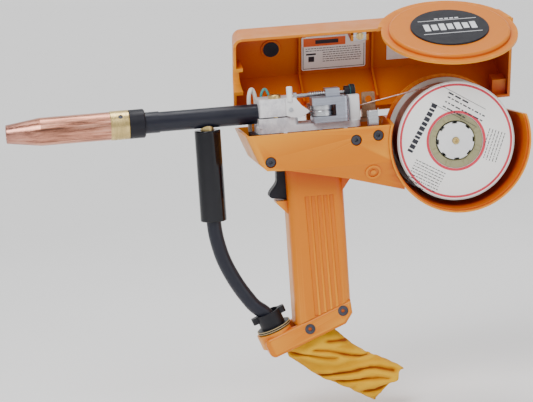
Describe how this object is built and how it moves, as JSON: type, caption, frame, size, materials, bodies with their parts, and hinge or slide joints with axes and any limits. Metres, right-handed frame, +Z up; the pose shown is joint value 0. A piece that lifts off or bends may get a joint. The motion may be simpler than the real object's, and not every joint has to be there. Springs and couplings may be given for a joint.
{
  "type": "mig welding torch",
  "caption": "Pistol-grip spool gun for MIG welding: hinged cover standing open over a wire spool, feed rolls, straight barrel with gas nozzle, trigger, front handle and cable sleeve",
  "frame": {"origin": "centre of the pistol grip", "axes": "+Z up, barrel points along -X, +Y towards the hinge side of the cover"},
  "size_m": [0.4344, 0.1295, 0.3286],
  "materials": {
    "copper": "drawn copper, lightly tarnished",
    "brass": "machined",
    "black_steel": "blackened",
    "black_phenolic": "moulded",
    "black_gloss": "glossy",
    "black_rubber": "satin",
    "black_nylon": "moulded",
    "orange_plastic": "semi-gloss moulded",
    "clear_plastic": "milky",
    "white_plastic": "moulded",
    "paper": "printed",
    "wire": "drawn, close wound",
    "steel": "ground",
    "cast_alloy": "sand-blasted casting",
    "liner_plastic": "extruded",
    "white_pvc": "extruded",
    "green_pvc": "extruded",
    "cloth": "heavy cotton duck"
  },
  "bodies": {
    "root": {"barrel_clamp": "cast_alloy", "barrel_tube": "black_rubber", "cable_sleeve": "cloth", "cap_screw": "brass", "case_screws": "black_steel", "catch_magnet": "steel", "clamp_screw": "brass", "conductor_tube": "copper", "contact_tip": "copper", "drive_frame": "cast_alloy", "feed_motor": "steel", "front_sleeve": "black_gloss", "gas_diffuser": "brass", "gas_nozzle": "copper", "gear_case": "cast_alloy", "gland_flange": "black_nylon", "gland_nut": "black_nylon", "green_lead": "green_pvc", "grip_foot": "orange_plastic", "guide_bracket": "black_steel", "hinge_pin": "black_steel", "housing_left": "orange_plastic", "housing_right": "orange_plastic", "insulating_block": "black_phenolic", "insulator_collar": "black_phenolic", "nozzle_collar": "brass", "nozzle_set_screw": "black_steel", "pivot_pins": "steel", "power_hose": "black_rubber", "sleeve_fitting": "brass", "spool_bucket": "orange_plastic", "spool_cap": "white_plastic", "spool_spindle": "steel", "tension_rod": "steel", "tension_spring": "steel", "trigger_switch": "black_phenolic", "welding_wire": "wire", "white_lead": "white_pvc", "wire_inlet": "white_plastic", "wire_liner": "liner_plastic"},
    "lid": {"lid": "orange_plastic", "spool_cover": "orange_plastic", "cover_badge": "black_phenolic", "lid_bumper": "black_rubber", "instruction_plates": "paper", "catch_plate": "steel", "catch_screw": "brass"},
    "spool": {"spool": "clear_plastic", "wound_wire": "wire", "spool_label": "paper"},
    "drive_roll": {"drive_roll": "steel", "drive_shaft": "steel", "reduction_gear": "black_steel"},
    "motor_pinion": {"motor_pinion": "black_steel"},
    "pressure_arm": {"pressure_arm": "cast_alloy"},
    "pressure_roll": {"pressure_roll": "steel"},
    "release_lever": {"release_lever": "white_plastic"},
    "tension_knob": {"tension_knob": "black_phenolic"},
    "trigger": {"trigger": "black_phenolic"}
  },
  "joints": [
    {"name": "lid_hinge", "type": "hinge", "parent": "root", "child": "lid", "pos_m": [0, 0.0375, 0.115], "axis": [1, 0, 0], "range_deg": [-20, 68.2]},
    {"name": "spool_spin", "type": "hinge", "parent": "root", "child": "spool", "pos_m": [0.1184, 0, 0.088], "axis": [0, -1, 0], "continuous": true},
    {"name": "drive_roll_spin", "type": "hinge", "parent": "root", "child": "drive_roll", "pos_m": [0.01, 0.01015, 0.121], "axis": [0, 0, 1], "continuous": true},
    {"name": "motor_spin", "type": "hinge", "parent": "root", "child": "motor_pinion", "pos_m": [-0.008, 0, 0.09], "axis": [0, 0, 1], "continuous": true},
    {"name": "pressure_arm_swing", "type": "hinge", "parent": "root", "child": "pressure_arm", "pos_m": [0.028, -0.013, 0.121], "axis": [0, 0, 1], "range_deg": [0, 12]},
    {"name": "pressure_roll_spin", "type": "hinge", "parent": "pressure_arm", "child": "pressure_roll", "pos_m": [0.01, -0.01015, 0.121], "axis": [0, 0, 1], "continuous": true},
    {"name": "release_lever_lift", "type": "hinge", "parent": "root", "child": "release_lever", "pos_m": [-0.017, -0.017, 0.124], "axis": [0, -1, 0], "range_deg": [0, 35]},
    {"name": "tension_knob_turn", "type": "hinge", "parent": "root", "child": "tension_knob", "pos_m": [0.036, 0.003, 0.133], "axis": [1, 0, 0], "continuous": true},
    {"name": "trigger_pull", "type": "hinge", "parent": "root", "child": "trigger", "pos_m": [-0.021, 0, 0.0725], "axis": [0, -1, 0], "range_deg": [0, 7], "stiffness_Nm_per_rad": 0.25, "springref_deg": -6.88}
  ],
  "couplings": [
    {"joint": "drive_roll_spin", "follows": "spool_spin", "ratio": -4.8947},
    {"joint": "pressure_roll_spin", "follows": "spool_spin", "ratio": 4.8947},
    {"joint": "motor_spin", "follows": "spool_spin", "ratio": 19.579}
  ]
}
